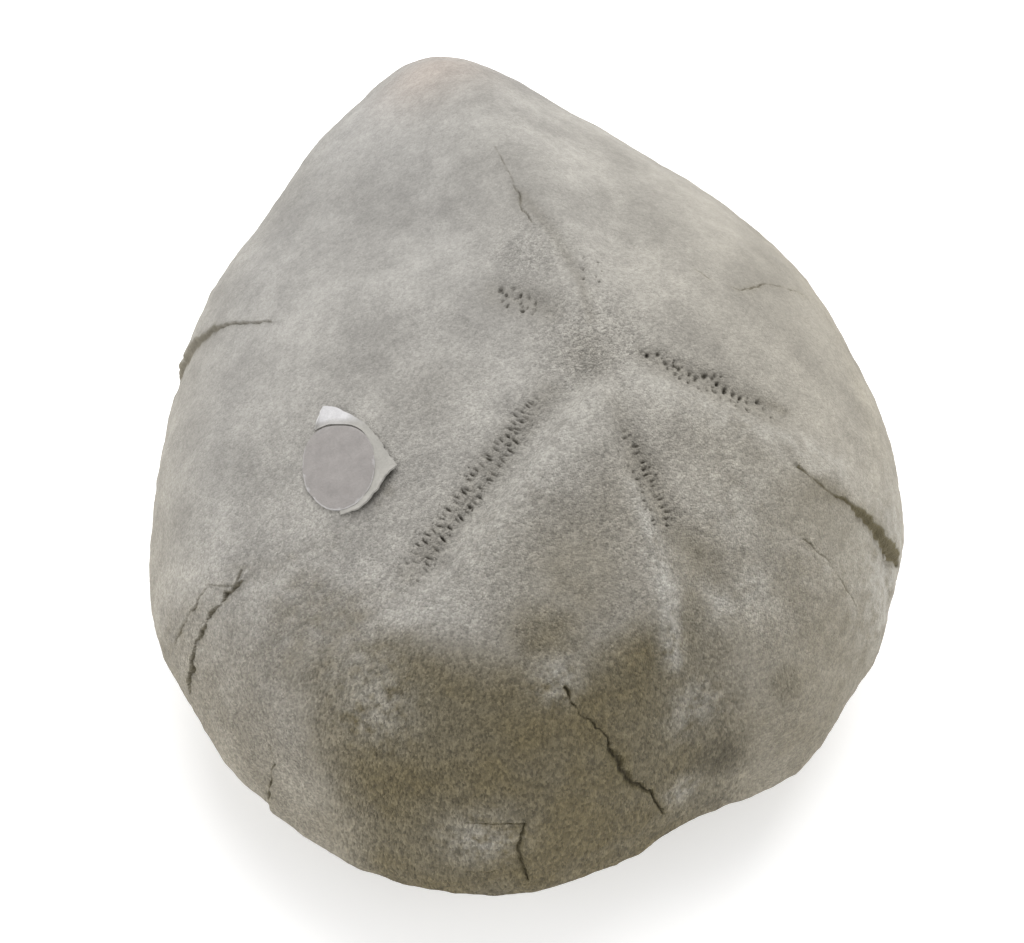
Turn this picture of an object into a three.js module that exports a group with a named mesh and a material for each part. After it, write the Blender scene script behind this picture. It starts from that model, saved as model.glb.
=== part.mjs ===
// A fossil heart urchin lying on its worn underside, with a thin round patch stuck to its back.
// Units are millimetres. +Z is up, -Y is the animal's front and +Y its pointed tail. The origin is
// the middle of the base, at the level of the surface that the fossil rests on.
import * as THREE from "three";

// Driving dimensions of the test, the stone shell of the urchin.
const LENGTH = 47.4;
const WIDTH = 41;
const HEIGHT = 22;

const halfWidth = WIDTH / 2;
const halfLength = LENGTH / 2;

// The margin, which is the widest line round the test, clockwise from the tail point as seen from
// above. Each station is [across, along, height, fullness]: shares of half the width, half the
// length and the height, then how full the side is above the margin (1 is a cone, 2 an oval).
const MARGIN = [
  [0.22, 1.0, 0.48, 2.0], // tail point
  [0.57, 0.7, 0.45, 1.9],
  [0.94, 0.25, 0.36, 2.1],
  [1.0, -0.02, 0.34, 2.1],
  [1.0, -0.26, 0.33, 2.0], // right flank
  [0.92, -0.53, 0.33, 2.0],
  [0.65, -0.81, 0.33, 2.0],
  [0.45, -0.94, 0.29, 2.2], // right cheek
  [0.16, -0.95, 0.26, 3.4], // front notch
  [-0.06, -1.0, 0.26, 3.4], // left cheek
  [-0.36, -0.99, 0.27, 3.4],
  [-0.72, -0.79, 0.29, 3.0],
  [-0.96, -0.32, 0.33, 2.1],
  [-0.97, -0.08, 0.34, 1.9], // left flank
  [-0.85, 0.2, 0.36, 1.8],
  [-0.56, 0.59, 0.4, 1.8],
  [-0.31, 0.75, 0.44, 1.8],
  [-0.03, 0.93, 0.47, 1.9],
];
const UNDERSIDE_FULLNESS = 3.4;

// The apex, where the petals meet, in the same shares.
const APEX = [0.23, -0.16];

// Furrows (minus) and ridges (plus) of the back, seen from above:
// each is laid along a line of [x, y] points, with a half width and a height.
const BACK_RELIEF = [
  { name: "left front petal", line: [[3.2, -4.5], [-6.4, -11.8]], spread: 1.4, height: -0.5 },
  { name: "left front ridge", line: [[3.6, -6.8], [-7.4, -14.6]], spread: 1.7, height: 0.6 },
  { name: "right front petal", line: [[6.6, -5.1], [13.0, -9.8]], spread: 1.4, height: -0.5 },
  { name: "right front ridge", line: [[6.8, -7.6], [14.4, -12.6]], spread: 1.7, height: 0.5 },
  { name: "frontal groove", line: [[4.8, -7.0], [5.4, -13.0], [3.9, -20.0]], spread: 1.6, height: -0.5 },
  { name: "left rear petal", line: [[3.4, -1.0], [1.2, 3.4]], spread: 1.6, height: -0.3 },
  { name: "right rear petal", line: [[6.2, -1.4], [8.2, 4.2]], spread: 1.6, height: -0.3 },
  { name: "keel", line: [[5.0, 1.0], [4.5, 21.0]], spread: 3.0, height: 0.7 },
];

// Relief of the underside, the same way. Its swellings are worn flat where they touch the ground.
const UNDERSIDE_LIFT = 0.9;
const UNDERSIDE_RELIEF = [
  { name: "plastron", line: [[1.5, -3.0], [3.0, 12.0]], spread: 5.2, height: 1.5 },
  { name: "left cheek", line: [[-10.5, -11.0], [-7.0, -15.5]], spread: 4.0, height: 2.3 },
  { name: "right cheek", line: [[12.0, -9.5], [9.5, -14.0]], spread: 3.8, height: 2.3 },
  { name: "mouth", line: [[-0.6, -13.0], [3.2, -13.0]], spread: 2.0, height: -2.2 },
  { name: "vent", line: [[4.6, 18.2], [4.6, 19.0]], spread: 1.5, height: -1.4 },
];

// Triangles come from an icosphere with this many cuts along each of its edges.
const SPHERE_CUTS = 21;

// The patch, a thin film with a torn flake at its back and a pointed flap at its right. Its outline
// runs clockwise as seen from above. Each point is [across, along, lift off the stone] from its middle.
const PATCH_MIDDLE = [-9.5, -3.2];
const PATCH_OUTLINE = [
  [0.6, 3.7, 0.5], // flake
  [1.1, 3.4, 0.4],
  [1.9, 2.0, 0.2],
  [2.2, 0.4, 0.0],
  [2.6, -0.8, 0.1],
  [2.6, -1.9, 0.3], // flap
  [1.9, -2.2, 0.3],
  [1.0, -2.8, 0.2],
  [-0.2, -3.0, 0.1],
  [-1.2, -2.5, 0.0],
  [-1.8, -1.5, 0.0],
  [-1.9, -0.3, 0.0],
  [-1.7, 1.2, 0.0],
  [-1.0, 2.3, 0.0],
  [-0.1, 2.7, 0.1],
  [0.1, 3.3, 0.4],
];
const PATCH_THICKNESS = 0.3;
const PATCH_GAP = 0.1;
const PATCH_RINGS = [0, 0.4, 0.75, 1];

const marginLine = new THREE.CatmullRomCurve3(
  MARGIN.map(([x, y, z]) => new THREE.Vector3(x * halfWidth, y * halfLength, z * HEIGHT)),
  true,
);
const fullnessLine = new THREE.CatmullRomCurve3(
  MARGIN.map(([, , , fullness]) => new THREE.Vector3(fullness, 0, 0)),
  true,
);
const apex = new THREE.Vector2(APEX[0] * halfWidth, APEX[1] * halfLength);

function distanceToLine(x, y, line) {
  const here = new THREE.Vector3(x, y, 0);
  const nearest = new THREE.Vector3();
  let distance = Infinity;
  for (let i = 1; i < line.length; i += 1) {
    const piece = new THREE.Line3(
      new THREE.Vector3(...line[i - 1], 0),
      new THREE.Vector3(...line[i], 0),
    );
    piece.closestPointToPoint(here, true, nearest);
    distance = Math.min(distance, nearest.distanceTo(here));
  }
  return distance;
}

function reliefAt(x, y, features) {
  return features.reduce(
    (sum, { line, spread, height }) =>
      sum + height * Math.exp(-((distanceToLine(x, y, line) / spread) ** 2)),
    0,
  );
}

// The test's surface in the direction of a unit vector: +Z is the apex, level is the margin.
function surfacePoint(direction) {
  const turn = (Math.atan2(direction.x, direction.y) / (2 * Math.PI) + 1) % 1;
  const station = marginLine.getUtoTmapping(turn);
  const edge = marginLine.getPoint(station);
  const reach = Math.min(1, Math.hypot(direction.x, direction.y));
  if (direction.z >= 0) {
    const fullness = fullnessLine.getPoint(station).x;
    const x = apex.x + reach * (edge.x - apex.x);
    const y = apex.y + reach * (edge.y - apex.y);
    const swell = Math.sqrt(1 - reach ** fullness);
    const relief = reliefAt(x, y, BACK_RELIEF) * (1 - reach ** 8);
    return new THREE.Vector3(x, y, edge.z + (HEIGHT - edge.z) * swell + relief);
  }
  const x = reach * edge.x;
  const y = reach * edge.y;
  const swell = Math.sqrt(1 - reach ** UNDERSIDE_FULLNESS);
  const relief = UNDERSIDE_LIFT - reliefAt(x, y, UNDERSIDE_RELIEF);
  const z = edge.z * (1 - swell) + relief * (1 - reach ** 4);
  return new THREE.Vector3(x, y, Math.max(0, z));
}

function testGeometry() {
  const geometry = new THREE.IcosahedronGeometry(1, SPHERE_CUTS);
  const position = geometry.attributes.position;
  for (let i = 0; i < position.count; i += 1) {
    const p = surfacePoint(new THREE.Vector3().fromBufferAttribute(position, i));
    position.setXYZ(i, p.x, p.y, p.z);
  }
  return geometry;
}

// Scales a geometry to the driving dimensions and puts the middle of its base at the origin.
function fitToSize(geometry) {
  geometry.computeBoundingBox();
  const size = geometry.boundingBox.getSize(new THREE.Vector3());
  geometry.scale(WIDTH / size.x, LENGTH / size.y, HEIGHT / size.z);
  geometry.computeBoundingBox();
  const middle = geometry.boundingBox.getCenter(new THREE.Vector3());
  geometry.translate(-middle.x, -middle.y, -geometry.boundingBox.min.z);
}

// A closed sheet that follows the stone below it, built as a lower and an upper skin of rings.
function patchGeometry(stone) {
  const ray = new THREE.Raycaster();
  const down = new THREE.Vector3(0, 0, -1);
  const skin = (offset) =>
    PATCH_RINGS.flatMap((share) =>
      PATCH_OUTLINE.map(([x, y, lift]) => {
        const at = new THREE.Vector3(PATCH_MIDDLE[0] + share * x, PATCH_MIDDLE[1] + share * y, HEIGHT + 1);
        ray.set(at, down);
        const ground = ray.intersectObject(stone)[0].point.z;
        return at.setZ(ground + offset + lift * share ** 4);
      }),
    );
  const points = [...skin(PATCH_GAP), ...skin(PATCH_GAP + PATCH_THICKNESS)];
  const around = PATCH_OUTLINE.length;
  const rings = PATCH_RINGS.length;
  const faces = [];
  const quad = (a, b, c, d) => faces.push(a, c, b, a, d, c);
  for (let i = 0; i < around; i += 1) {
    const next = (i + 1) % around;
    const at = (layer, ring, spoke) => (layer * rings + ring) * around + spoke;
    for (let ring = 1; ring < rings; ring += 1) {
      quad(at(0, ring - 1, i), at(0, ring - 1, next), at(0, ring, next), at(0, ring, i));
      quad(at(1, ring - 1, i), at(1, ring, i), at(1, ring, next), at(1, ring - 1, next));
    }
    quad(at(0, rings - 1, i), at(0, rings - 1, next), at(1, rings - 1, next), at(1, rings - 1, i));
  }
  const geometry = new THREE.BufferGeometry();
  geometry.setAttribute("position", new THREE.Float32BufferAttribute(points.flatMap((p) => [...p]), 3));
  geometry.setIndex(faces);
  return geometry;
}

const urchin = new THREE.Group();
const stoneGeometry = testGeometry();
fitToSize(stoneGeometry);
const test = new THREE.Mesh(
  stoneGeometry,
  new THREE.MeshStandardMaterial({ color: "#a7a399", roughness: 0.95, metalness: 0 }),
);
test.name = "test";
urchin.add(test);

const patch = new THREE.Mesh(
  patchGeometry(test),
  new THREE.MeshStandardMaterial({ color: "#b5b0ac", roughness: 0.6, metalness: 0 }),
);
patch.name = "round_patch";
urchin.add(patch);

export default urchin;
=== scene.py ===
# %% [markdown]
# A fossil heart urchin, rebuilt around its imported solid.
# The solid gives the true size and the broad form. This lesson turns a copy of it into stone: an even
# skin of small faces, then petals, pores and cracks pressed into that skin, then colour and grain.
# A thin round patch that is stuck to the back is made last. All lengths below are in millimetres
# until they reach Blender, which works in metres.

import math

import bpy
import numpy as np
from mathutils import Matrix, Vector, noise
from mathutils.bvhtree import BVHTree
from mathutils.kdtree import KDTree


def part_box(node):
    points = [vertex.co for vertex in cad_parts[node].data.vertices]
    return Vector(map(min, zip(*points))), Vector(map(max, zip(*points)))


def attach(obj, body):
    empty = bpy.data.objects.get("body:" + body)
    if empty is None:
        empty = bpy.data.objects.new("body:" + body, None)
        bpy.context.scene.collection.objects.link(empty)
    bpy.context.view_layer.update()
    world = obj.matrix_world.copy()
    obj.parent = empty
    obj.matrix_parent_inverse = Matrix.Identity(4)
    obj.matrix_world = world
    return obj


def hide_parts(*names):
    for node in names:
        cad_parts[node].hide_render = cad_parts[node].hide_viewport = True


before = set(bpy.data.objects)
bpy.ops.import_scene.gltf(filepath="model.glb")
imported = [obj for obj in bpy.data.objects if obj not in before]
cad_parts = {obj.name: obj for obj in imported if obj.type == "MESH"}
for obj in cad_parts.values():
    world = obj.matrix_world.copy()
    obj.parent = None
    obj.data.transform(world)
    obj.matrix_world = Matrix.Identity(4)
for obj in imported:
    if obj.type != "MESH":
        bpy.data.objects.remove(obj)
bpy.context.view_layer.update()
MM = 0.001
rng = np.random.default_rng(47)

# %% [markdown]
# Blender's operators act on whatever is selected, so a few helpers keep that under control: one
# clears the selection, one picks a single object, and one adds a modifier and applies it at once.

# %% Helpers for operators and modifiers
def pick_only(thing):
    bpy.ops.object.select_all(action="DESELECT")
    thing.select_set(True)
    bpy.context.view_layer.objects.active = thing


def apply_modifier(thing, kind, **settings):
    pick_only(thing)
    bpy.ops.object.modifier_add(type=kind)
    modifier = thing.modifiers[-1]
    for key, value in settings.items():
        setattr(modifier, key, value)
    bpy.ops.object.modifier_apply(modifier=modifier.name)


def own_copy(node, name):
    piece = node.copy()
    piece.data = node.data.copy()
    piece.name = piece.data.name = name
    piece.parent = None
    for key in list(piece.keys()):
        del piece[key]
    piece.data.materials.clear()
    bpy.context.scene.collection.objects.link(piece)
    return piece


def points_of(piece):
    flat = np.empty(len(piece.data.vertices) * 3)
    piece.data.vertices.foreach_get("co", flat)
    return flat.reshape(-1, 3) / MM


def normals_of(piece):
    flat = np.empty(len(piece.data.vertices) * 3)
    piece.data.vertex_normals.foreach_get("vector", flat)
    return flat.reshape(-1, 3)


def set_points(piece, points):
    piece.data.vertices.foreach_set("co", (points * MM).ravel())
    piece.data.update()


# %% [markdown]
# The camera looks down from the front at 60 degrees, turned 20 degrees to the animal's left, through
# a long lens, so that the back shows with little perspective.

# %% Camera
CAMERA_AZIMUTH = math.radians(-20)
CAMERA_ELEVATION = math.radians(60)
CAMERA_DISTANCE = 307.5 * MM
LOOK_AT = Vector((0.74, -0.41, 7.4)) * MM

towards_camera = Vector(
    (
        math.sin(CAMERA_AZIMUTH) * math.cos(CAMERA_ELEVATION),
        -math.cos(CAMERA_AZIMUTH) * math.cos(CAMERA_ELEVATION),
        math.sin(CAMERA_ELEVATION),
    )
)
bpy.ops.object.camera_add(location=LOOK_AT + towards_camera * CAMERA_DISTANCE)
camera = bpy.context.object
camera.name = "camera"
camera.rotation_euler = towards_camera.to_track_quat("Z", "Y").to_euler()
camera.data.lens = 200
camera.data.sensor_width = 36
camera.data.clip_start = 0.01
bpy.context.scene.camera = camera
print("camera at", [round(c / MM, 1) for c in camera.location])

# %% [markdown]
# The test is the urchin's shell, filled with stone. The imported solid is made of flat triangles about
# a millimetre across, too coarse for pores. A voxel remesh gives a copy of it small even faces, and a
# smooth modifier rubs away the old facets. That keeps the form and makes a skin to work on.

# %% An even skin for the test
SKIN_VOXEL = 0.31
FACET_SMOOTHING = 26

test = own_copy(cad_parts["test"], "urchin_test")
pick_only(test)
bpy.ops.object.mode_set(mode="EDIT")
bpy.ops.mesh.select_all(action="SELECT")
bpy.ops.mesh.remove_doubles(threshold=0.001 * MM)
bpy.ops.object.mode_set(mode="OBJECT")
apply_modifier(test, "REMESH", mode="VOXEL", voxel_size=SKIN_VOXEL * MM, adaptivity=0)
apply_modifier(test, "SMOOTH", factor=0.5, iterations=FACET_SMOOTHING)
apply_modifier(test, "TRIANGULATE")
print("skin:", len(test.data.polygons), "faces")

# %% [markdown]
# The petals are five pairs of furrows that run out from the apex, and between them the stone stands up
# in soft crests. Subdivision modelling would need its edges to follow every furrow. Here each furrow
# or crest is a line with a soft round section, and the skin is moved by its height, which adds up well
# where lines meet. Each line is told by [across, along] points, and works on the back only.

# %% Furrows and crests of the back
RELIEF = {
    "left front furrow": dict(
        line=[(3.9, -4.0), (0.3, -6.1), (-3.3, -8.5), (-7.2, -10.9)], spread=0.8, height=-0.34
    ),
    "left front crest": dict(
        line=[(3.4, -5.8), (0.0, -8.0), (-3.1, -10.4), (-6.2, -12.2), (-8.2, -13.5)], spread=1.6, height=0.4
    ),
    "frontal crest": dict(
        line=[(3.6, -5.5), (3.0, -8.2), (3.2, -11.4), (3.3, -15.2), (2.6, -19.0)], spread=0.7, height=0.34
    ),
    "frontal furrow": dict(
        line=[(4.4, -5.9), (4.4, -8.4), (4.7, -10.9), (5.3, -13.0), (6.2, -16.6)], spread=0.7, height=-0.22
    ),
    "right front furrow": dict(line=[(6.6, -3.9), (8.9, -5.4), (12.9, -8.3)], spread=0.6, height=-0.24),
    "right front crest": dict(
        line=[(6.2, -5.4), (7.8, -7.0), (10.1, -8.7), (12.4, -10.2), (14.6, -11.3)], spread=1.2, height=0.3
    ),
    "left panel": dict(line=[(1.5, -9.5), (-0.5, -12.0), (-2.5, -15.5)], spread=2.0, height=-0.25),
    "right panel": dict(line=[(8.0, -10.5), (9.0, -14.0), (9.0, -17.0)], spread=2.2, height=-0.3),
    "left rear furrow": dict(line=[(3.3, 0.3), (1.0, 2.7)], spread=0.7, height=-0.22),
    "keel seam": dict(
        line=[(4.9, -1.0), (5.2, 1.6), (4.9, 4.8), (4.1, 8.0)], spread=0.35, height=-0.14
    ),
    "keel shoulder": dict(line=[(6.4, -0.5), (6.6, 4.0), (6.0, 10.0)], spread=1.6, height=0.25),
}


def distance_on_plan(points, line):
    line = np.array(line)
    best = np.full(len(points), np.inf)
    for start, end in zip(line[:-1], line[1:]):
        span = end - start
        t = np.clip(((points[:, :2] - start) @ span) / (span @ span), 0, 1)
        best = np.minimum(best, np.linalg.norm(points[:, :2] - start - t[:, None] * span, axis=1))
    return best


def smooth_step(low, high, value):
    t = np.clip((value - low) / (high - low), 0, 1)
    return t * t * (3 - 2 * t)


points = points_of(test)
normals = normals_of(test)
rise = np.zeros(len(points))
for feature in RELIEF.values():
    distance = distance_on_plan(points, feature["line"])
    rise += feature["height"] * np.exp(-((distance / feature["spread"]) ** 2))
rise *= smooth_step(0.05, 0.45, normals[:, 2])
set_points(test, points + normals * rise[:, None])
print("relief from", round(rise.min(), 2), "to", round(rise.max(), 2), "mm")

# %% [markdown]
# Seen from above, the outline is no clean oval: it swells and sinks a little where the shell was
# crushed and worn. Each entry is a soft push on the skin round a place of the margin, told by its
# direction in degrees and its height, with a reach and a swell, both in millimetres.

# %% Swells and hollows of the margin
PUSHES = [
    dict(direction=178, height=10.5, reach=3.5, swell=-0.4),
    dict(direction=213, height=6.0, reach=3.5, swell=0.4),
    dict(direction=238, height=5.0, reach=4.0, swell=0.2),
    dict(direction=253, height=6.5, reach=3.0, swell=-0.15),
    dict(direction=286, height=6.5, reach=2.5, swell=-0.25),
    dict(direction=293, height=7.5, reach=2.5, swell=-0.3),
    dict(direction=311, height=7.5, reach=2.5, swell=0.3),
    dict(direction=12, height=15.5, reach=6.0, swell=-0.35),
    dict(direction=70, height=15.5, reach=4.0, swell=0.2),
    dict(direction=103, height=12.0, reach=4.0, swell=0.3),
]


def tree_of_faces(piece):
    return BVHTree.FromPolygons(
        [Vector(p) for p in points_of(piece)], [tuple(f.vertices) for f in piece.data.polygons]
    )


def on_wall(direction, height):
    """The place of the skin that is seen from the stone's upright axis in this direction."""
    outward = Vector((np.cos(np.radians(direction)), np.sin(np.radians(direction)), 0))
    return tuple(skin_tree.ray_cast(Vector((0, 0, height)) + 40 * outward, -outward)[0])


skin_tree = tree_of_faces(test)
points = points_of(test)
push = np.zeros(len(points))
for p in PUSHES:
    away = np.linalg.norm(points - on_wall(p["direction"], p["height"]), axis=1)
    push += p["swell"] * np.exp(-((away / p["reach"]) ** 2))
set_points(test, points + normals_of(test) * push[:, None])
print("margin pushed from", round(push.min(), 2), "to", round(push.max(), 2), "mm")

# %% [markdown]
# Real stone is never quite even. Displace modifiers with a cloud texture raise and lower the skin:
# broad lumps from the crushing, and small ones that are strong only near the worn edge of the base.

# %% Lumps
WORN_EDGE = (8.0, 15.0)


def unevenness(name, size, height, group=""):
    texture = bpy.data.textures.new(name, type="CLOUDS")
    texture.noise_scale = size * MM
    texture.noise_depth = 2
    apply_modifier(
        test, "DISPLACE", texture=texture, texture_coords="LOCAL", direction="NORMAL",
        strength=height * MM, mid_level=0.5, vertex_group=group,
    )


worn = test.vertex_groups.new(name="worn")
worn_share = 1 - 0.8 * smooth_step(*WORN_EDGE, points_of(test)[:, 2])
for share in np.unique(worn_share.round(2)):
    worn.add(np.nonzero(worn_share.round(2) == share)[0].tolist(), float(share), "REPLACE")
unevenness("broad_lumps", 5.0, 0.34)
unevenness("small_lumps", 1.2, 0.24, "worn")

# %% [markdown]
# Cracks and pores are told by how far a point of the skin is from a line on the stone. A line is given
# by a few points, made wavy with smooth noise and laid on the skin. Its distances are then measured
# for the points of the skin nearby, along the surface only, so that a lump can't hide a pore.

# %% Lines on the stone
skin_tree = tree_of_faces(test)


def laid_on_stone(points, step=0.1, wobble=0.0, wobble_length=0.8, seed=0):
    """A dense line through the points, wavy by the wobble, with the stone's normal at each place."""
    points = np.array(points, float)
    lengths = np.r_[0, np.cumsum(np.linalg.norm(np.diff(points, axis=0), axis=1))]
    along = np.linspace(0, lengths[-1], max(2, int(lengths[-1] / step) + 1))
    line = np.stack([np.interp(along, lengths, points[:, k]) for k in range(3)], axis=1)
    for i, s in enumerate(along):
        for reach, share in ((wobble_length, 1.0), (wobble_length / 3, 0.45)):
            shift = noise.noise_vector(Vector((s / reach, seed * 7.3, share)))
            line[i] += np.array(shift) * wobble * share
    found = [skin_tree.find_nearest(Vector(p)) for p in line]
    return along, np.array([f[0] for f in found]), np.array([f[1] for f in found])


def near_line(points, line, normals, reach):
    """Indices of the points within reach of the line, how far, where along it, and on which side."""
    low, high = line.min(0) - reach, line.max(0) + reach
    close = np.nonzero(((points > low) & (points < high)).all(1))[0]
    best = np.full(len(close), np.inf)
    where = np.zeros(len(close))
    side = np.zeros(len(close))
    for i, (start, end, normal) in enumerate(zip(line[:-1], line[1:], normals)):
        span = end - start
        size = max(span @ span, 1e-9)
        t = np.clip(((points[close] - start) @ span) / size, 0, 1)
        gap = points[close] - (start + t[:, None] * span)
        gap -= 0.9 * (gap @ normal)[:, None] * normal
        distance = np.linalg.norm(gap, axis=1)
        nearer = distance < best
        best[nearer] = distance[nearer]
        where[nearer] = i + t[nearer]
        side[nearer] = np.sign(gap[nearer] @ np.cross(span, normal))
    keep = best < reach
    return close[keep], best[keep], where[keep], side[keep]


# %% [markdown]
# The cracks. Each real one is a fissure with olive dirt in it, wide in some places and closed in
# others, and on some the stone of one side stands higher, so that the dirty wall of the break shows. A
# boolean cut would leave ragged edges, so each crack is pressed into the skin along a wavy line. Its
# course is told as on a globe, by direction in degrees and height in millimetres, and each entry also
# gives the half widths along it, how deep it is, how dark the painted shade down in it is, and how far
# its right-hand side stands up, seen from its start.

# %% The cracks and where they run
def on_back(across, along):
    return tuple(skin_tree.ray_cast(Vector((across, along, 40)), Vector((0, 0, -1)))[0])


CRACKS = {
    "left edge": dict(
        path=[on_wall(144, 7), on_wall(142, 10.5), on_wall(140.3, 13), on_wall(141.5, 16.2)],
        half_width=[0.02, 0.14, 0.16, 0.12, 0.06, 0.04, 0.03],
        depth=0.12, step=-0.45, dirt=0.4, darkness=0.25,
    ),
    "left flank": dict(
        path=[on_wall(200.5, 15.2), on_wall(199, 13.4), on_wall(199.2, 11), on_wall(201.2, 8)],
        half_width=[0.03, 0.07, 0.01, 0.05, 0.01, 0.07, 0.01, 0.05, 0.06, 0.05, 0.01],
        depth=0.2, step=0.28, dirt=0.65, darkness=0.5, wobble=0.25,
    ),
    "left flank branch": dict(
        path=[on_wall(198.8, 15.3), on_wall(200, 14.9), on_wall(195.6, 13.8), on_wall(195.4, 9.8)],
        half_width=[0.04, 0.02, 0.02, 0.01, 0.04, 0.01, 0.06, 0.01],
        depth=0.1, step=0.1, dirt=0.5, darkness=0.3,
    ),
    "left lobe": dict(
        path=[on_wall(217.8, 10.8), on_wall(219.1, 10), on_wall(219.3, 4)],
        half_width=[0.02, 0.05, 0.08, 0.12, 0.02], depth=0.35, step=-0.3, dirt=0.7, darkness=0.5,
    ),
    "front plate": dict(
        path=[on_wall(246, 11.7), on_wall(253.8, 11.7), on_wall(252.8, 10), on_wall(254, 6.8)],
        half_width=[0.02, 0.04, 0.06, 0.07, 0.16, 0.16, 0.06],
        depth=0.25, step=-0.18, dirt=0.75, darkness=0.4,
    ),
    "front plate hair": dict(
        path=[on_wall(246.3, 7.7), on_wall(249.4, 7.6), on_wall(252, 8.2)],
        half_width=[0.03, 0.04, 0.03], depth=0.1, step=0.0, dirt=0.5, darkness=0.2,
    ),
    "front": dict(
        path=[
            on_wall(260.4, 18), on_wall(262, 16.9), on_wall(263.8, 16.3), on_wall(265.7, 14.8),
            on_wall(267.2, 12.7), on_wall(269.9, 11), on_wall(272.8, 8),
        ],
        half_width=[0.09, 0.07, 0.02, 0.06, 0.02, 0.1, 0.24, 0.34, 0.36, 0.2, 0.07, 0.1, 0.06, 0.13, 0.03],
        depth=0.3, step=0.14, dirt=0.9, darkness=0.85, wobble=0.22,
    ),
    "right flank": dict(
        path=[
            on_wall(318.3, 18.5), on_wall(318.2, 17.3), on_wall(319.8, 15.6), on_wall(321, 13.8),
            on_wall(321.6, 11.8), on_wall(323, 8.4),
        ],
        half_width=[0.05, 0.01, 0.04, 0.01, 0.07, 0.1, 0.13, 0.16, 0.16, 0.18, 0.2, 0.24, 0.27, 0.22, 0.04],
        depth=0.15, step=-0.7, lift=0.15, dirt=0.9, darkness=0.25,
    ),
    "right rear": dict(
        path=[on_wall(358.7, 19.3), on_wall(358, 19), on_wall(1.3, 17.3), on_wall(1.6, 14.8)],
        half_width=[0.03, 0.08, 0.04, 0.04, 0.06, 0.09], depth=0.15, step=0.16, dirt=0.5, darkness=0.2,
    ),
    "right rear hair": dict(
        path=[on_wall(5, 19.9), on_wall(1, 19.8)], half_width=[0.02, 0.04, 0.02],
        depth=0.08, step=0.03, dirt=0.4, darkness=0.1,
    ),
    "right cheek": dict(
        path=[on_wall(309.3, 16.6), on_wall(310.2, 15), on_wall(310, 13.9), on_wall(309.9, 12)],
        half_width=[0.02, 0.06, 0.02, 0.04, 0.01, 0.02, 0.01, 0.09, 0.06, 0.04, 0.01],
        depth=0.12, step=0.08, dirt=0.4, darkness=0.3,
    ),
    "keel": dict(
        path=[on_back(4.2, 11.7), on_back(4.2, 8.1), on_back(4.0, 6.8), on_back(4.2, 5.8)],
        half_width=[0.01, 0.02, 0.01, 0.06, 0.02], depth=0.12, step=-0.05, dirt=0.25, darkness=0.25,
    ),
}
for number, (name, crack) in enumerate(CRACKS.items()):
    along, crack["line"], crack["normal"] = laid_on_stone(
        crack["path"], wobble=crack.get("wobble", 0.13), seed=number + 1
    )
    places = np.linspace(0, along[-1], len(crack["half_width"]))
    widths = np.interp(along, places, crack["half_width"])
    pinch = [noise.noise(Vector((s / 0.5, number * 3.1, 5.0))) for s in along]
    crack["widths"] = widths * np.clip(1 + 0.8 * np.array(pinch), 0.3, 1.6)
    print(name, "crack:", round(along[-1], 1), "mm long")

# %% [markdown]
# The petals. Each is a furrow with a row of pores along each side, where tube feet came through. A
# pore is a small pit, and the pits are uneven because the stone is worn. Each row is a line with a
# spacing, and each pore on it gets its own small shift, size and depth from a seeded random draw.

# %% The rows of pores
PORE_ROWS = {
    "left front petal, outer": dict(
        path=[on_back(1.1, -3.8), on_back(-3.9, -7.3), on_back(-9.6, -11.1)],
        spacing=0.36, size=0.06, length=0.23, fade=(0.1, 0.75),
    ),
    "left front petal, inner": dict(
        path=[on_back(0.4, -4.8), on_back(-3.3, -7.8), on_back(-9.1, -11.7)],
        spacing=0.36, size=0.06, length=0.2, fade=(0.1, 0.7),
    ),
    "right front petal, outer": dict(
        path=[on_back(6.5, -3.4), on_back(9.5, -5.5), on_back(12.4, -8.1)],
        spacing=0.44, size=0.09, length=0.13, fade=(0.05, 0.85),
    ),
    "right front petal, inner": dict(
        path=[on_back(7.3, -4.2), on_back(9.0, -6.0), on_back(11.7, -8.3)],
        spacing=0.44, size=0.075, length=0.09, fade=(0.2, 0.8),
    ),
    "front petal, right": dict(
        path=[on_back(4.2, -6.3), on_back(4.7, -10.2), on_back(4.7, -13.2)],
        spacing=0.38, size=0.065, length=0.18, fade=(0.4, 0.95),
    ),
    "front petal, left": dict(
        path=[on_back(3.7, -7.4), on_back(4.0, -10.5), on_back(3.9, -13.2)],
        spacing=0.4, size=0.06, length=0.16, fade=(0.55, 0.95),
    ),
    "left rear petal, outer": dict(
        path=[on_back(3.1, 0.9), on_back(1.2, 3.1)], spacing=0.42, size=0.08, length=0.15, fade=(0.3, 0.8)
    ),
    "left rear petal, inner": dict(
        path=[on_back(2.7, 0.2), on_back(0.9, 2.3)], spacing=0.45, size=0.07, length=0.13, fade=(0.3, 0.8)
    ),
    "right rear petal, outer": dict(
        path=[on_back(6.0, 0.2), on_back(6.9, 3.0)], spacing=0.6, size=0.05, length=0.07, fade=(0.3, 0.6)
    ),
    "right rear petal, inner": dict(
        path=[on_back(5.0, 0.6), on_back(6.0, 3.4)], spacing=0.6, size=0.05, length=0.07, fade=(0.3, 0.6)
    ),
}
CRUMBS = 3
pores = []
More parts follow.
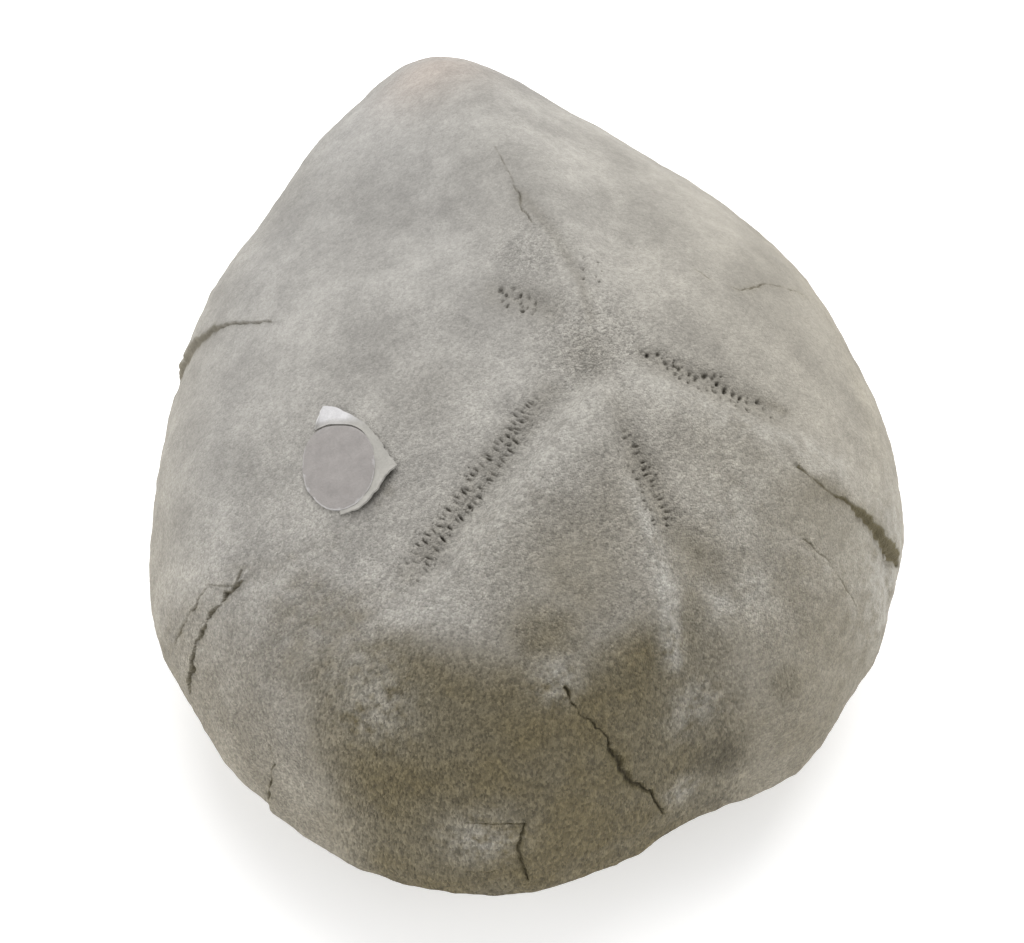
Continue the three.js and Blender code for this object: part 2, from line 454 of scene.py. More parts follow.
for number, (name, row) in enumerate(PORE_ROWS.items()):
    along, line, normal = laid_on_stone(row["path"], step=0.06, wobble=0.12, seed=40 + number)
    s = row["spacing"] / 2
    while s < along[-1]:
        i = int(np.searchsorted(along, s).clip(1, len(along) - 1))
        heading = line[i] - line[i - 1]
        heading /= np.linalg.norm(heading)
        side = np.cross(normal[i], heading)
        share = s / along[-1]
        rise = min(1.0, share / max(row["fade"][0], 1e-6))
        fall = min(1.0, (1.15 - share) / max(1.15 - row["fade"][1], 1e-6))
        strength = rise * fall * rng.uniform(0.5, 1.15)
        place = line[i] + heading * rng.normal(0, 0.06) + side * rng.normal(0, 0.1)
        length = row["length"] * rng.uniform(0.7, 1.2)
        pores.append((*place, *side, *normal[i], row["size"] * rng.uniform(0.8, 1.15), length, strength))
        for crumb in range(CRUMBS):
            shift = side * rng.normal(0, 1.6 * row["length"]) + heading * rng.normal(0, 0.14)
            small = 0.6 * row["size"] * rng.uniform(0.7, 1.2)
            depth = strength * rng.uniform(0.3, 0.8)
            pores.append((*(place + shift), *side, *normal[i], small, 1.5 * small, depth))
        s += row["spacing"] * rng.uniform(0.9, 1.1)
pores = np.array(pores)
print(len(pores), "pores")

# %% [markdown]
# The skin needs smaller faces where the fine shapes go. Faces near a crack or a pore are selected
# and subdivided, each time in a narrower band, so that the rest of the skin stays light.

# %% Finer faces along the cracks and the pores
def tree_of(points):
    tree = KDTree(len(points))
    for i, p in enumerate(points):
        tree.insert(Vector(p), i)
    tree.balance()
    return tree


crack_tree = tree_of(np.concatenate([c["line"] for c in CRACKS.values()]))
pore_tree = tree_of(pores[:, :3])


def refine(reach_crack, reach_pore):
    mesh = test.data
    centres = np.empty(len(mesh.polygons) * 3)
    mesh.polygons.foreach_get("center", centres)
    centres = centres.reshape(-1, 3) / MM
    chosen = np.zeros(len(centres), bool)
    for i, c in enumerate(centres):
        if c[2] < 4:
            continue
        p = Vector(c)
        chosen[i] = crack_tree.find(p)[2] < reach_crack or pore_tree.find(p)[2] < reach_pore
    pick_only(test)
    bpy.ops.object.mode_set(mode="EDIT")
    bpy.ops.mesh.select_mode(type="FACE")
    bpy.ops.mesh.select_all(action="DESELECT")
    bpy.ops.object.mode_set(mode="OBJECT")
    mesh.polygons.foreach_set("select", chosen)
    bpy.ops.object.mode_set(mode="EDIT")
    bpy.ops.mesh.subdivide(number_cuts=1, ngon=False)
    bpy.ops.mesh.select_all(action="SELECT")
    bpy.ops.mesh.quads_convert_to_tris()
    bpy.ops.object.mode_set(mode="OBJECT")
    print("refined to", len(mesh.polygons), "faces")


refine(0.6, 0.3)
refine(0.32, 0.15)

# %% [markdown]
# Now the fine shapes. For each point of the skin the code adds up how far it moves along its normal:
# down into a crack or a pore, and up or down beside a crack whose sides don't match. The same sums
# give masks for the dirt, for the painted shade down in the cracks and for the darker pits, kept as
# attributes that the material reads.

# %% Press in the cracks
GRANULE = 0.5
GRANULE_HEIGHT = 0.05
CRACK_STEEPNESS = 3.0
STEP_REACH = 1.3
RAGGED = ((0.3, 0.05), (0.12, 0.02))
HALO = 0.25

unevenness("granules", GRANULE, GRANULE_HEIGHT)
points = points_of(test)
normals = normals_of(test)
move = np.zeros(len(points))
crack_dirt = np.zeros(len(points))
crack_shade = np.zeros(len(points))
crack_halo = np.zeros(len(points))
soft_wall = np.zeros(len(points))

for crack in CRACKS.values():
    line = crack["line"]
    near, gap, where, side = near_line(points, line, crack["normal"], 4.0)
    width = np.interp(where, np.arange(len(line)), crack["widths"])
    rough = np.zeros(len(near))
    for i in np.nonzero(gap < 1)[0]:
        for size, height in RAGGED:
            rough[i] += height * noise.noise(Vector(points[near[i]] / size))
    signed = side * gap + rough * np.clip(width / 0.1, 0, 1)
    gap = np.abs(signed)
    valley = np.clip(1 - (gap / width) ** 2, 0, 1)
    move[near] -= np.minimum(crack["depth"], CRACK_STEEPNESS * width) * valley
    wall = np.clip(signed / width, -1, 1) * np.exp(-np.maximum(gap - width, 0) / STEP_REACH)
    lift = crack.get("lift", 0.5)
    wall = np.where(wall * crack["step"] > 0, 2 * lift * wall, 2 * (1 - lift) * wall)
    move[near] += 0.5 * crack["step"] * width / max(crack["half_width"]) * wall
    soft_wall[near] = np.maximum(soft_wall[near], np.clip((width - 0.06) / 0.06, 0, 1) * (gap < 2 * width))
    dirt = crack["dirt"] * np.clip(0.5 + (1.05 * width - gap) / 0.07, 0, 1)
    crack_dirt[near] = np.maximum(crack_dirt[near], dirt)
    # Painted shade down in the crack, darkest along its middle.
    deep = crack["darkness"] * np.clip(1.3 - gap / (0.45 * width + 0.03), 0, 1)
    crack_shade[near] = np.maximum(crack_shade[near], deep)
    halo = crack["dirt"] * np.clip(width / 0.12, 0, 1) * np.exp(-((gap / (width + HALO)) ** 2))
    crack_halo[near] = np.maximum(crack_halo[near], halo)
print("cracks go down to", round(move.min(), 2), "mm")

# %% Press in the pores
PORE_DEPTH = 0.2
pore_darkening = np.zeros(len(points))
skin_points = tree_of(points)
for *place, sx, sy, sz, nx, ny, nz, size, length, strength in pores:
    near = np.array([found[1] for found in skin_points.find_range(Vector(place), 0.7)], int)
    gap = points[near] - place
    gap -= (gap @ (nx, ny, nz))[:, None] * (nx, ny, nz)
    sideways = gap @ (sx, sy, sz)
    lengthways = np.sqrt(np.maximum((gap**2).sum(1) - sideways**2, 0))
    pit = np.exp(-((lengthways / size) ** 2 + (sideways / length) ** 2))
    move[near] -= PORE_DEPTH * strength * pit
    # The pits are drawn darker towards their middle.
    pore_darkening[near] = np.maximum(pore_darkening[near], np.clip(1.7 * strength * pit - 0.25, 0, 1))

points += normals * move[:, None]
low, high = (np.array(corner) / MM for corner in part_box("test"))
points = np.clip(points, low, high)
set_points(test, points)
walls = test.vertex_groups.new(name="walls")
walls.add(np.nonzero(soft_wall > 0.5)[0].tolist(), 1.0, "REPLACE")
apply_modifier(test, "SMOOTH", factor=0.5, iterations=3, vertex_group="walls")
points = points_of(test)
print("skin box:", points.min(0).round(2), points.max(0).round(2))

# %% [markdown]
# Weathering and painted light. The colour of the stone drifts in soft patches: brown where dirt clings to the
# steep front, together with painted shade that darkens the front the more it faces forward; pale where dust or
# bleaching lies, with painted highlight along the crests; dark where grime fills the hollows near the apex,
# with painted shade in the petal furrows, on the right flank and the tail's left flank, and under the lifted
# paper edge. Each patch is a soft ball of influence round a place on the stone, or a soft limit on its slope.

# %% Weathering masks, with painted shade and highlight
def soft_balls(*balls):
    mask = np.zeros(len(points))
    for x, y, z, reach, strength in balls:
        gap = ((points - (x, y, z)) ** 2).sum(1)
        mask = np.maximum(mask, strength * np.exp(-gap / reach**2))
    return mask


box_low, box_high = (np.array(corner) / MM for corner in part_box("round_patch"))
patch_middle = (box_low + box_high)[:2] / 2 - (0.8, 0.6)
across, along_back, up = points.T
facing_front = -0.95 * normals[:, 1] - 0.3 * normals[:, 0]
# Painted shade: the steep front is drawn browner and darker the more it faces forward, standing in for the shade on
# that side as well as its real brown dirt.
brown_and_shade = smooth_step(0.15, 0.5, facing_front) * smooth_step(20.5, 17.6, up)
brown_and_shade *= 1 - 0.55 * smooth_step(1, 8, across)
brown_and_shade *= 1 - 0.7 * smooth_step(-13, -17, across)
# Soft balls of brown on the front: stains, and painted shade on the slope below the front crests.
stains_and_shade = soft_balls(
    (-1.0, -14.5, 20.3, 4.5, 0.55), (2.5, -12.5, 20.3, 4.0, 0.35), (7.0, -16.0, 17.0, 3.5, 0.35),
    (-3.3, -16.8, 19.6, 2.8, 0.85), (5.5, -14.5, 19.0, 2.4, 0.55),
    (8.5, -11.0, 19.5, 4.0, 0.25), (8.5, -20.0, 13.0, 2.2, 0.7),
)
brown_and_shade = np.maximum(brown_and_shade, stains_and_shade)
def soft_lines(*lines):
    """1 near a line on the back and 0 away from it. Each line has its points, spread and strength."""
    mask = np.zeros(len(points))
    for line, spread, strength in lines:
        mask = np.maximum(mask, strength * np.exp(-((distance_on_plan(points, line) / spread) ** 2)))
    return mask * smooth_step(0.1, 0.5, normals[:, 2])


dust_and_highlight = soft_balls(
    (-12.4, -15.4, 16.1, 2.2, 0.5), (-3.4, -18.6, 18.3, 1.2, 0.6), (-2.7, -3.6, 20.9, 2.2, 0.12),
    (6.6, 5.0, 21.0, 4.0, 0.1), (-8.9, -22.2, 10.5, 1.9, 0.5), (3.5, -20.5, 14.0, 1.6, 0.5),
    (8.5, -13.0, 19.4, 2.8, 0.25), (8.1, -16.4, 17.0, 1.2, 0.5), (6.2, -17.0, 17.4, 1.0, 0.5),
    (2.2, -22.4, 9.0, 1.2, 0.5), (16.8, -14.5, 10.0, 4.5, 0.6),
)
# Painted highlight: the crests are drawn paler, as if caught by the light, on top of the dust on them.
crest_dust_and_highlight = soft_lines(
    ([(3.2, -5.6), (0.0, -7.8), (-3.2, -10.0), (-6.2, -11.9), (-8.0, -13.2)], 1.6, 0.33),
    ([(6.0, -4.8), (7.7, -6.6), (10.1, -8.3), (12.6, -10.0), (14.6, -11.0)], 1.1, 0.35),
    ([(3.6, -11.0), (3.5, -13.0), (3.4, -16.0), (2.8, -18.8)], 0.6, 0.6),
)
dust_and_highlight = np.maximum(dust_and_highlight, crest_dust_and_highlight)
# Grime in the hollows near the apex; darker patches low on the front near the notch; painted shade on the right flank
# and on the tail's left flank; and painted shadow under the lifted paper edge.
grime_and_shade = soft_balls(
    (4.0, -2.6, 21.4, 1.5, 0.35), (4.5, -21.8, 10.3, 1.7, 0.95), (3.6, -21.0, 12.6, 1.6, 0.45), (4.5, -21.9, 10.0, 0.7, 1.0),
    (17.5, 0.0, 14.0, 6.0, 0.22), (-4.5, -1.5, 20.8, 2.5, 0.12), (1.3, -13.0, 2.0, 2.2, 0.5),
    (4.6, 18.6, 1.5, 1.6, 0.4), (4.2, -22.2, 6.4, 1.0, 0.6),
    (8.5, -20.6, 12.5, 1.0, 0.3), (-4.0, 16.0, 15.0, 4.0, 0.08),
    # Painted shadow beside the lifted lower right edge of the paper, with some gunk under it.
    (patch_middle[0] + 1.8, patch_middle[1] - 2.5, 19.9, 0.35, 0.7),
    (patch_middle[0] + 1.1, patch_middle[1] - 2.9, 19.7, 0.3, 0.7),
)
# Dirt along the petals and the keel seam, with painted shade down in their furrows.
petal_dirt_and_shade = soft_lines(
    ([(1.6, -4.0), (-3.4, -7.4), (-8.6, -10.9)], 0.8, 0.3),
    ([(6.9, -3.8), (9.2, -5.7), (12.0, -8.2)], 0.7, 0.22),
    ([(4.2, -6.2), (4.5, -10.2), (4.5, -13.4)], 0.8, 0.28),
    ([(4.9, -1.0), (5.2, 1.6), (4.9, 4.8), (4.2, 8.0)], 0.35, 0.3),
    ([(3.2, 0.4), (1.1, 2.7)], 0.9, 0.25),
)
grime_and_shade = np.maximum(grime_and_shade, petal_dirt_and_shade)
warm = soft_balls((3.4, 19.9, 16.5, 3.0, 0.5))
cream = 0.22 + 0.032 * np.maximum(across, 0) + 0.085 * np.clip(15 - up, 0, 8) - 0.012 * along_back
coarse = smooth_step(10, -14, along_back) * 0.6 + 0.4
coarse *= (1 - 0.45 * smooth_step(6, 16, across)) * (1 + 0.4 * brown_and_shade)
coarse = np.maximum(coarse, soft_balls((4.4, -2.4, 21.5, 4.5, 1.3), (3.6, 4.0, 21.5, 3.0, 1.0)))

for name, mask in dict(
    crack_dirt=crack_dirt, crack_shade=crack_shade, crack_halo=crack_halo, pore_darkening=pore_darkening, brown_and_shade=brown_and_shade, dust_and_highlight=dust_and_highlight,
    grime_and_shade=grime_and_shade, warm=warm, cream=cream, coarse=coarse,
).items():
    layer = test.data.attributes.new(name, "FLOAT", "POINT")
    layer.data.foreach_set("value", mask.astype(np.float32))
    print(name, "mean", round(float(mask.mean()), 3))

pick_only(test)
bpy.ops.object.shade_smooth()

# %% [markdown]
# The stone's finish. A few helpers write nodes in one line each: a noise, a change of range, a mix of
# two colours, a sum, and a mask read back from the mesh.

# %% Node helpers
def join(tree, value, socket):
    if isinstance(value, bpy.types.NodeSocket):
        tree.links.new(value, socket)
    else:
        socket.default_value = value


def new_material(name):
    material = bpy.data.materials.new(name)
    material.use_nodes = True
    material.node_tree.nodes.clear()
    return material, material.node_tree


def place_scaled(tree, x, y, z):
    node = tree.nodes.new("ShaderNodeMapping")
    where = tree.nodes.new("ShaderNodeTexCoord").outputs["Object"]
    tree.links.new(where, node.inputs["Vector"])
    node.inputs["Scale"].default_value = (x, y, z)
    return node.outputs["Vector"]


def noise_field(tree, size, detail=2.0, roughness=0.5, stretch=(1, 1, 1)):
    node = tree.nodes.new("ShaderNodeTexNoise")
    tree.links.new(place_scaled(tree, *stretch), node.inputs["Vector"])
    for name, value in dict(Scale=1 / (size * MM), Detail=detail, Roughness=roughness).items():
        node.inputs[name].default_value = value
    return node.outputs["Fac"]


def grains(tree, size, stretch=(1, 1, 1)):
    node = tree.nodes.new("ShaderNodeTexVoronoi")
    tree.links.new(place_scaled(tree, *stretch), node.inputs["Vector"])
    node.inputs["Scale"].default_value = 1 / (size * MM)
    split = tree.nodes.new("ShaderNodeSeparateColor")
    tree.links.new(node.outputs["Color"], split.inputs[0])
    return node.outputs["Distance"], split.outputs[0]


def remap(tree, value, low, high, to_low=0.0, to_high=1.0):
    node = tree.nodes.new("ShaderNodeMapRange")
    tree.links.new(value, node.inputs["Value"])
    for name, number in zip(("From Min", "From Max", "To Min", "To Max"), (low, high, to_low, to_high)):
        join(tree, number, node.inputs[name])
    return node.outputs["Result"]


def mix_colour(tree, share, first, second, blend="MIX"):
    node = tree.nodes.new("ShaderNodeMix")
    node.data_type = "RGBA"
    node.blend_type = blend
    sockets = {i.identifier: i for i in node.inputs}
    join(tree, share, sockets["Factor_Float"])
    join(tree, first, sockets["A_Color"])
    join(tree, second, sockets["B_Color"])
    return {o.identifier: o for o in node.outputs}["Result_Color"]


def maths(tree, operation, first, second=0.0):
    node = tree.nodes.new("ShaderNodeMath")
    node.operation = operation
    join(tree, first, node.inputs[0])
    join(tree, second, node.inputs[1])
    return node.outputs[0]


def mask_of(tree, name):
    node = tree.nodes.new("ShaderNodeAttribute")
    node.attribute_name = name
    return node.outputs["Fac"]


def finish_surface(tree, colour, height, distance, roughness, specular):
    bump = tree.nodes.new("ShaderNodeBump")
    bump.inputs["Distance"].default_value = distance * MM
    tree.links.new(height, bump.inputs["Height"])
    surface = tree.nodes.new("ShaderNodeBsdfPrincipled")
    tree.links.new(bump.outputs["Normal"], surface.inputs["Normal"])
    tree.links.new(colour, surface.inputs["Base Color"])
    join(tree, roughness, surface.inputs["Roughness"])
    surface.inputs["Specular IOR Level"].default_value = specular
    output = tree.nodes.new("ShaderNodeOutputMaterial")
    tree.links.new(surface.outputs[0], output.inputs["Surface"])


# %% [markdown]
# Limestone is a crowd of grains, each with its own shade and with a little dirt between them. Two sizes
# of noise make the grain, and on the steep front it is drawn out downwards. Wider noise drifts the
# grey between cool and creamy, and the masks then lay dirt, dust and stain over it, with painted shade on
# the front, the flanks and in the furrows and cracks, darker pits, and painted highlight on the crests.

# %% The stone material
STONE_PALE = (0.35, 0.34, 0.322, 1)
STONE_DARK = (0.265, 0.257, 0.243, 1)
CREAM_TINT = (1.03, 0.98, 0.86, 1)
BROWN_DIRT_AND_SHADE = (0.136, 0.113, 0.064, 1)
GREY_DIRT_AND_SHADE = (0.14, 0.121, 0.079, 1)
OLIVE_DIRT = (0.14, 0.119, 0.066, 1)
CRACK_SHADE = (0.035, 0.029, 0.017, 1)
PORE_DARK = (0.06, 0.053, 0.04, 1)
DUST_AND_HIGHLIGHT = (0.4, 0.388, 0.355, 1)
GRIME_AND_SHADE = (0.1, 0.088, 0.062, 1)
PINKISH = (0.43, 0.36, 0.31, 1)

stone, tree = new_material("fossil_stone")
DRAWN_DOWN = (1, 1, 0.4)
from_middle, grain_shade = grains(tree, 0.11)
from_middle_tall, grain_shade_tall = grains(tree, 0.11, DRAWN_DOWN)
grain = noise_field(tree, 0.3, 3, 0.65)
grain_tall = noise_field(tree, 0.3, 3, 0.65, DRAWN_DOWN)
mottle = noise_field(tree, 0.9, 4, 0.6)
blotch = noise_field(tree, 4.0, 3, 0.55)
brown_and_shade_mask = mask_of(tree, "brown_and_shade")
coarse_mask = mask_of(tree, "coarse")


def between(first, second, share):
    kept = maths(tree, "MULTIPLY", first, maths(tree, "SUBTRACT", 1.0, share))
    return maths(tree, "ADD", kept, maths(tree, "MULTIPLY", second, share))


def share_of(name, field, low, high):
    return maths(tree, "MULTIPLY", mask_of(tree, name), remap(tree, field, low, high))


def shade_by(tree, colour, field, contrast, low=0.28, high=0.72):
    """The colour times 1 - contrast where the field is low, up to 1 + contrast where it is high."""
    darker = maths(tree, "SUBTRACT", 1.0, contrast)
    lighter = maths(tree, "ADD", 1.0, contrast)
    return mix_colour(tree, 1.0, colour, remap(tree, field, low, high, darker, lighter), "MULTIPLY")


front = remap(tree, brown_and_shade_mask, 0.4, 0.6)
from_middle = between(from_middle, from_middle_tall, front)
grain_shade = between(grain_shade, grain_shade_tall, front)
grain = between(grain, grain_tall, front)
# The front's brown and grey dirt, which also carries the painted shade of the forward-facing front.
dirt = mix_colour(tree, remap(tree, blotch, 0.4, 0.6), BROWN_DIRT_AND_SHADE, GREY_DIRT_AND_SHADE)
tint = mix_colour(tree, mask_of(tree, "cream"), (1, 1, 1, 1), CREAM_TINT)

colour = mix_colour(tree, remap(tree, blotch, 0.35, 0.65), STONE_DARK, STONE_PALE)
colour = mix_colour(tree, 1.0, colour, tint, "MULTIPLY")
colour = mix_colour(tree, brown_and_shade_mask, colour, dirt)
# Dust, and painted highlight along the crests.
colour = mix_colour(tree, share_of("dust_and_highlight", mottle, 0.3, 0.55), colour, DUST_AND_HIGHLIGHT)
# Grime, and painted shade in the furrows, on the flanks and under the paper edge.
colour = mix_colour(tree, share_of("grime_and_shade", mottle, 0.2, 0.5), colour, GRIME_AND_SHADE)
colour = mix_colour(tree, mask_of(tree, "warm"), colour, PINKISH)
colour = mix_colour(tree, maths(tree, "MULTIPLY", mask_of(tree, "crack_halo"), 0.45), colour, OLIVE_DIRT)

colour = shade_by(tree, colour, grain_shade, maths(tree, "MULTIPLY", coarse_mask, 0.22), 0.0, 1.0)
colour = shade_by(tree, colour, grain, maths(tree, "MULTIPLY", coarse_mask, 0.2))
colour = shade_by(tree, colour, mottle, 0.09)
# Darker pits.
colour = mix_colour(tree, maths(tree, "MULTIPLY", mask_of(tree, "pore_darkening"), 0.8), colour, PORE_DARK)
colour = mix_colour(tree, mask_of(tree, "crack_dirt"), colour, OLIVE_DIRT)
# Painted shade down in the cracks.
colour = mix_colour(tree, mask_of(tree, "crack_shade"), colour, CRACK_SHADE)

relief = maths(tree, "SUBTRACT", maths(tree, "MULTIPLY", grain, 1.5), maths(tree, "MULTIPLY", from_middle, 0.7))
relief = maths(tree, "MULTIPLY", relief, coarse_mask)
finish_surface(tree, colour, relief, 0.09, remap(tree, grain, 0.3, 0.7, 0.84, 0.98), 0.25)
test.data.materials.append(stone)

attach(test, "root")
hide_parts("test")

# %% [markdown]
# The round patch. A small round label was stuck to the stone once, and what is left is its smooth
# oval disc and, round its far and right edges, torn paper from the layer below: a flake, a pointed flap
# and a rim that has come away from the stone. The disc starts as a circle that is inset into rings.
# The torn paper starts as a grid that is bent into a band round the disc. Both are laid on the stone.

# %% Outlines of the patch
DISC_OUTLINE = [
    (0.9, 2.4), (1.6, 1.8), (2.0, 0.7), (1.9, -0.35), (1.6, -1.25), (1.05, -2.0), (0.25, -2.45),
    (-0.6, -2.4), (-1.3, -1.85), (-1.7, -0.8), (-1.75, 0.45), (-1.45, 1.5), (-0.95, 2.4),
    (-0.25, 2.8), (0.3, 2.75),
]
# Each point of the torn edge is (across, along, lift off the stone), from the flake clockwise.
TORN_EDGE = [
    (-0.3, 2.85, 0.0), (-0.1, 3.1, 0.2), (0.2, 3.5, 0.32), (0.5, 3.85, 0.36), (0.9, 3.6, 0.28),
    (1.3, 3.1, 0.18), (1.75, 2.35, 0.1), (2.1, 1.7, 0.04), (2.25, 1.2, 0.02), (2.35, 0.75, 0.02),
    (2.45, 0.35, 0.03), (2.5, -0.2, 0.05), (2.6, -0.8, 0.08), (2.72, -1.5, 0.22), (2.3, -1.65, 0.3),
    (1.95, -1.85, 0.32), (1.6, -2.1, 0.34), (1.2, -2.38, 0.34), (0.7, -2.65, 0.32), (0.15, -2.75, 0.22),
    (-0.35, -2.65, 0.1), (-0.75, -2.5, 0.0),
]


def polar(outline):
    outline = np.array(outline)
    angle = np.arctan2(outline[:, 1], outline[:, 0])
    return angle, np.hypot(outline[:, 0], outline[:, 1])


def smooth_radius(angle, outline):
    at, radius = polar(outline)
    order = np.argsort(at)
    at, radius = at[order], radius[order]
    at = np.r_[at - 2 * np.pi, at, at + 2 * np.pi]
    dense = np.linspace(-2 * np.pi, 2 * np.pi, 1441)
    values = np.interp(dense, at, np.tile(radius, 3))
    kernel = np.hanning(31) / np.hanning(31).sum()
    return np.interp(angle, dense, np.convolve(values, kernel, mode="same"))


stone_tree = tree_of_faces(test)


def on_stone(x, y):
    spot = (patch_middle[0] + x, patch_middle[1] + y)
    return stone_tree.ray_cast(Vector((*spot, 40)), Vector((0, 0, -1)))[0]


# %% The disc
DISC_SPOKES = 144
DISC_RINGS = 16
DISC_THICKNESS = 0.1

bpy.ops.object.select_all(action="DESELECT")
bpy.ops.mesh.primitive_circle_add(vertices=DISC_SPOKES, radius=1 * MM, fill_type="NGON")
disc = bpy.context.object
bpy.ops.object.mode_set(mode="EDIT")
bpy.ops.mesh.select_mode(type="FACE")
bpy.ops.mesh.select_all(action="SELECT")
for ring in range(DISC_RINGS):
    bpy.ops.mesh.inset(thickness=0.9 / DISC_RINGS * MM)
bpy.ops.mesh.poke()
bpy.ops.object.mode_set(mode="OBJECT")

flat = points_of(disc)
turn = np.arctan2(flat[:, 1], flat[:, 0])
share = np.hypot(flat[:, 0], flat[:, 1])
ragged = np.array([noise.noise(Vector((math.cos(t), math.sin(t), 3.0)) * 9) for t in turn])
radius = share * (smooth_radius(turn, DISC_OUTLINE) + 0.03 * ragged * share**4)
laid = []
for t, r, s in zip(turn, radius, share):
    spot = on_stone(r * math.cos(t), r * math.sin(t))
    rim = math.exp(-(((s - 0.97) / 0.03) ** 2))
    laid.append((spot.x, spot.y, spot.z + 0.14 + 0.03 * rim))
set_points(disc, np.array(laid))
apply_modifier(disc, "SMOOTH", factor=0.5, iterations=6)
apply_modifier(disc, "SOLIDIFY", thickness=DISC_THICKNESS * MM, offset=-1)
print("disc:", len(disc.data.polygons), "faces")

# %% The torn paper
TORN_STEPS = 240
TORN_ROWS = 10
TORN_THICKNESS = 0.09
DISC_GAP = [(0, 0.07), (0.28, 0.05), (0.42, -0.08), (1, -0.08)]

bpy.ops.object.select_all(action="DESELECT")
bpy.ops.mesh.primitive_grid_add(x_subdivisions=TORN_STEPS, y_subdivisions=TORN_ROWS, size=1 * MM)
torn = bpy.context.object
flat = points_of(torn) + 0.5
edge = np.array(TORN_EDGE)
edge_turn, edge_radius = polar(edge[:, :2])
edge_turn = np.unwrap(edge_turn)
edge_run = np.linspace(0, 1, len(edge))
laid = []
for run, row, _ in flat:
    t = np.interp(run, edge_run, edge_turn)
    outer = np.interp(run, edge_run, edge_radius)
    lift = np.interp(run, edge_run, edge[:, 2])
    inner = float(smooth_radius(t, DISC_OUTLINE)) + np.interp(run, *np.transpose(DISC_GAP))
    tear = noise.noise(Vector((run * 26, 0.0, 1.0))) + 0.5 * noise.noise(Vector((run * 70, 4.0, 1.0)))
    outer = max(outer + 0.06 * tear, inner + 0.03)
    r = inner + row * (outer - inner)
    spot = on_stone(r * math.cos(t), r * math.sin(t))
    crinkle = 0.03 * noise.noise(Vector((spot.x * 2.2, spot.y * 2.2, 7.0)))
    laid.append((spot.x, spot.y, spot.z + 0.12 + lift * max(row, 0.0) ** 1.5 + crinkle))
set_points(torn, np.array(laid))
apply_modifier(torn, "SMOOTH", factor=0.5, iterations=2)
apply_modifier(torn, "SOLIDIFY", thickness=TORN_THICKNESS * MM, offset=-1)
print("torn paper:", len(torn.data.polygons), "faces")

# %% One patch, with its masks
def add_mask(piece, name, values):
    layer = piece.data.attributes.new(name, "FLOAT", "POINT")
    layer.data.foreach_set("value", values.astype(np.float32))


spots = points_of(torn)[:, :2] - patch_middle
turn = np.arctan2(spots[:, 1], spots[:, 0])
beyond = np.hypot(*spots.T) - smooth_radius(turn, DISC_OUTLINE)
white = np.exp(-(((spots - (0.9, 3.2)) ** 2).sum(1)) / 1.1**2)
add_mask(torn, "white", np.clip(1.6 * white, 0, 1) * (0.3 + 0.7 * smooth_step(0.15, 0.45, beyond)))
add_mask(torn, "cream", np.ones(len(spots)))
spots = points_of(disc)[:, :2] - patch_middle
turn = np.arctan2(spots[:, 1], spots[:, 0])
reach = np.hypot(*spots.T) / smooth_radius(turn, DISC_OUTLINE)
worn_rim = 0.55 + 0.45 * np.cos(turn - np.radians(235))
breaks = [noise.noise(Vector((x * 2.5, y * 2.5, 11.0))) for x, y in spots]
rim_width = 0.05 * np.clip(1 + 1.6 * np.array(breaks), 0.1, 2)
add_mask(disc, "white", 0.6 * worn_rim * smooth_step(0, 1, (reach - 1 + rim_width) / 0.02))
add_mask(disc, "cream", np.zeros(len(spots)))

pick_only(torn)
disc.select_set(True)
bpy.ops.object.join()
patch = torn
patch.name = patch.data.name = "label_remains"
bpy.ops.object.shade_smooth_by_angle(angle=math.radians(40))

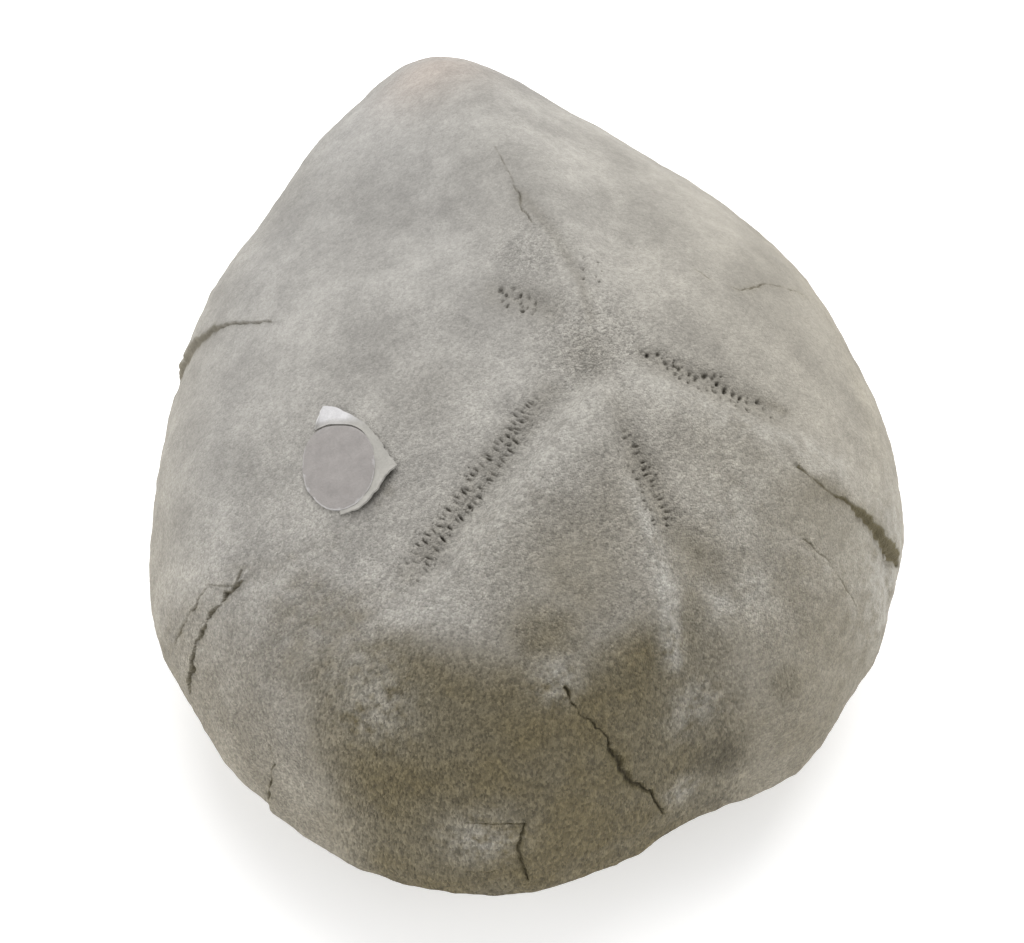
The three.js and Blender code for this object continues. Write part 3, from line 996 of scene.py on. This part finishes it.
paper, tree = new_material("old_paper")
fibre = noise_field(tree, 0.12, 3, 0.6)
cloudy = noise_field(tree, 0.7, 3, 0.55)
DISC_GREY = (0.272, 0.254, 0.243, 1)
PAPER_CREAM = (0.345, 0.333, 0.305, 1)
PAPER_WHITE = (0.6, 0.59, 0.595, 1)
colour = mix_colour(tree, mask_of(tree, "cream"), DISC_GREY, PAPER_CREAM)
colour = mix_colour(tree, mask_of(tree, "white"), colour, PAPER_WHITE)
colour = mix_colour(tree, 1.0, colour, remap(tree, cloudy, 0.3, 0.7, 0.9, 1.08), "MULTIPLY")
colour = mix_colour(tree, 1.0, colour, remap(tree, fibre, 0.3, 0.7, 0.94, 1.06), "MULTIPLY")
finish_surface(tree, colour, fibre, 0.03, remap(tree, fibre, 0.3, 0.7, 0.55, 0.75), 0.3)
patch.data.materials.append(paper)

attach(patch, "root")
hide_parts("round_patch")

# %% [markdown]
# The set: a plain pale floor and soft light. The main light is large and comes from above the tail, two
# weaker ones stand at the sides, and an even white world fills the shadows.

# %% Floor and light
bpy.ops.mesh.primitive_plane_add(size=3)
floor = bpy.context.object
floor.name = "floor"
FLOOR_GLOW = 0.35
card, tree = new_material("pale_floor")
surface = tree.nodes.new("ShaderNodeBsdfPrincipled")
surface.inputs["Base Color"].default_value = (0.93, 0.93, 0.93, 1)
surface.inputs["Roughness"].default_value = 0.9
surface.inputs["Emission Color"].default_value = (1, 1, 1, 1)
surface.inputs["Emission Strength"].default_value = FLOOR_GLOW
output = tree.nodes.new("ShaderNodeOutputMaterial")
tree.links.new(surface.outputs[0], output.inputs["Surface"])
floor.data.materials.append(card)


def soft_light(name, azimuth, elevation, distance, size, power):
    a, e = math.radians(azimuth), math.radians(elevation)
    away = Vector((math.sin(a) * math.cos(e), math.cos(a) * math.cos(e), math.sin(e)))
    bpy.ops.object.light_add(type="AREA", location=away * distance)
    lamp = bpy.context.object
    lamp.name = name
    lamp.rotation_euler = away.to_track_quat("Z", "Y").to_euler()
    lamp.data.shape = "SQUARE"
    lamp.data.size = size
    lamp.data.energy = power
    return lamp


soft_light("far_softbox", 28, 50, 0.7, 0.7, 5.9)
soft_light("left_softbox", -95, 20, 0.7, 0.5, 2.4)
soft_light("right_softbox", 130, 20, 0.7, 0.5, 1.8)
world = bpy.data.worlds.new("studio")
bpy.context.scene.world = world
world.use_nodes = True
world.node_tree.nodes["Background"].inputs["Color"].default_value = (1, 1, 1, 1)
world.node_tree.nodes["Background"].inputs["Strength"].default_value = 0.42
bpy.context.scene.view_settings.view_transform = "Standard"
